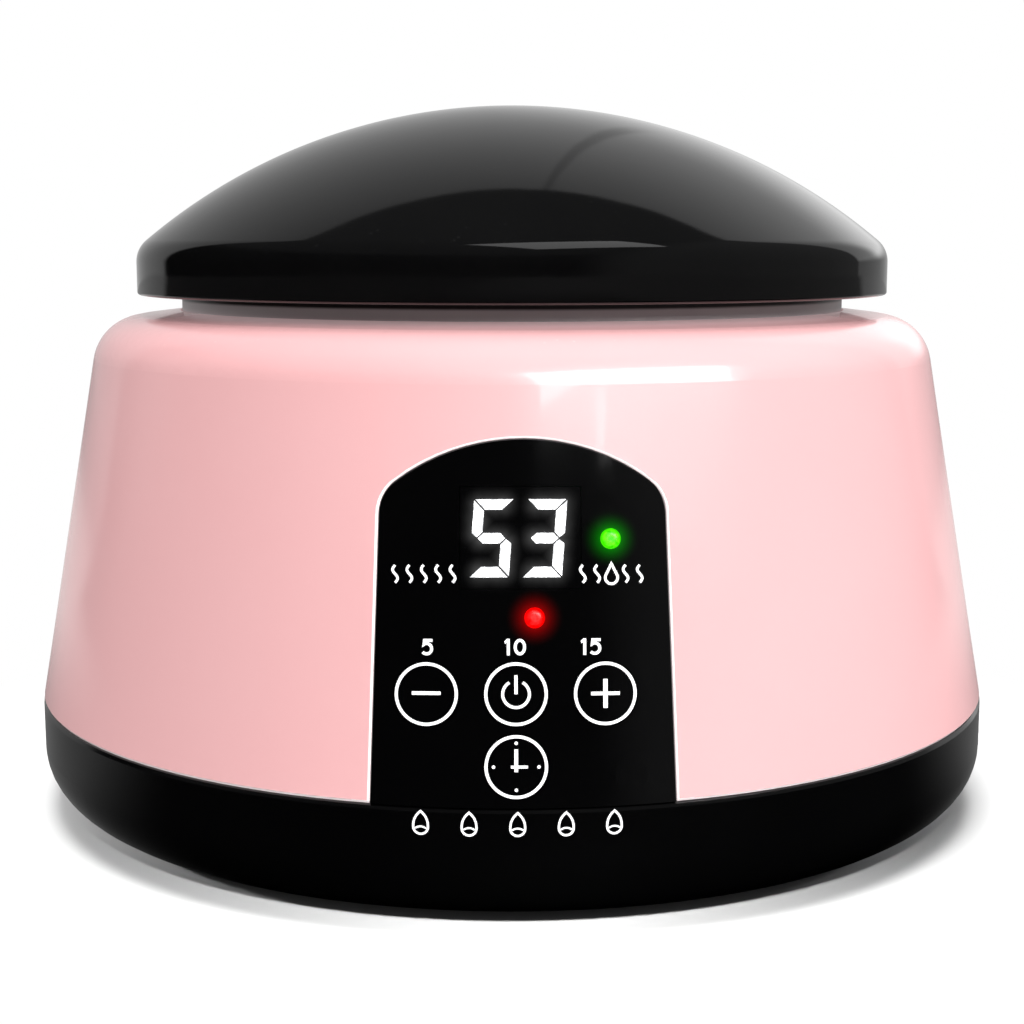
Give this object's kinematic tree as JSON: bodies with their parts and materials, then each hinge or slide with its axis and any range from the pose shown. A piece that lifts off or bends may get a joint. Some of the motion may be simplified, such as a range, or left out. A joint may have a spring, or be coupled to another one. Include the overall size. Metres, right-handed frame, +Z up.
{
  "type": "gel polish remover machine",
  "caption": "Round tabletop gel polish steamer: dome lid over a finger tray and heated bowl, conical housing, arched panel with display and push keys.",
  "frame": {"origin": "on the table under the centre of the round housing", "axes": "+Z up, control panel towards -Y, +X to the right seen from the front"},
  "size_m": [0.19, 0.19, 0.1376],
  "materials": {
    "pink_gloss": "glossy moulded pink",
    "base_black": "semi-gloss moulded black",
    "lid_black": "high-gloss black",
    "panel_black": "high-gloss black",
    "key_black": "gloss black with printed ring and sign",
    "window_smoke": "smoked gloss",
    "led_green_lens": "lit green",
    "led_red_lens": "lit red",
    "tub_black": "fine texture",
    "tray_black": "satin",
    "silicone": "soft matt silicone",
    "foot_rubber": "matt",
    "bowl_aluminium": "spun",
    "plate_aluminium": "machined",
    "steel": "zinc plated",
    "pin_metal": "nickel plated",
    "board_green": "solder mask",
    "component_black": "moulded",
    "component_green": "moulded",
    "transformer_yellow": "taped winding",
    "lead_sleeve": "silicone sleeve",
    "ribbon_grey": "flat cable"
  },
  "bodies": {
    "housing": {"base_screws": "steel", "base_shell": "base_black", "board_fuse": "component_black", "clamp_screws": "steel", "control_board": "board_green", "control_board_screws": "steel", "control_panel": "panel_black", "deck_gasket": "silicone", "display_module": "component_black", "display_window": "window_smoke", "heater_clamp": "steel", "heater_gasket": "silicone", "heater_leads": "lead_sleeve", "heater_plate": "plate_aluminium", "inlet_pins": "pin_metal", "inner_tub": "tub_black", "led_green": "led_green_lens", "led_red": "led_red_lens", "led_spacers": "component_black", "mains_leads": "lead_sleeve", "ntc_sensor": "steel", "panel_lead": "ribbon_grey", "power_board": "board_green", "power_board_screws": "steel", "power_inlet": "base_black", "ptc_heater": "plate_aluminium", "relay": "component_black", "rubber_feet": "foot_rubber", "smoothing_capacitor": "component_black", "tact_switches": "component_black", "terminal_block": "component_green", "thermal_fuse": "steel", "thermostat": "steel", "thermostat_screws": "steel", "transformer": "transformer_yellow", "tub_screws": "steel", "upper_shell": "pink_gloss"},
    "bowl": {"steam_bowl": "bowl_aluminium"},
    "tray": {"finger_tray": "tray_black", "finger_mat": "silicone"},
    "lid": {"lid_shell": "lid_black", "lid_liner": "tub_black", "lid_seal": "silicone", "lid_screws": "steel"},
    "minus_key": {"key_minus": "key_black"},
    "power_key": {"key_power": "key_black"},
    "plus_key": {"key_plus": "key_black"},
    "timer_key": {"key_timer": "key_black"}
  },
  "joints": [
    {"name": "bowl_lift", "type": "slide", "parent": "housing", "child": "bowl", "axis": [0, 0, 1], "range_m": [0, 0.07]},
    {"name": "tray_lift", "type": "slide", "parent": "bowl", "child": "tray", "axis": [0, 0, 1], "range_m": [0, 0.06]},
    {"name": "lid_lift", "type": "slide", "parent": "tray", "child": "lid", "axis": [0, 0, 1], "range_m": [0, 0.09]},
    {"name": "minus_press", "type": "slide", "parent": "housing", "child": "minus_key", "axis": [0, 0.9848, -0.1736], "range_m": [0, 0.0006], "stiffness_N_per_m": 2000, "springref_m": -0.0002},
    {"name": "power_press", "type": "slide", "parent": "housing", "child": "power_key", "axis": [0, 0.9848, -0.1736], "range_m": [0, 0.0006], "stiffness_N_per_m": 2000, "springref_m": -0.0002},
    {"name": "plus_press", "type": "slide", "parent": "housing", "child": "plus_key", "axis": [0, 0.9848, -0.1736], "range_m": [0, 0.0006], "stiffness_N_per_m": 2000, "springref_m": -0.0002},
    {"name": "timer_press", "type": "slide", "parent": "housing", "child": "timer_key", "axis": [0, 0.9848, -0.1736], "range_m": [0, 0.0006], "stiffness_N_per_m": 2000, "springref_m": -0.0002}
  ]
}
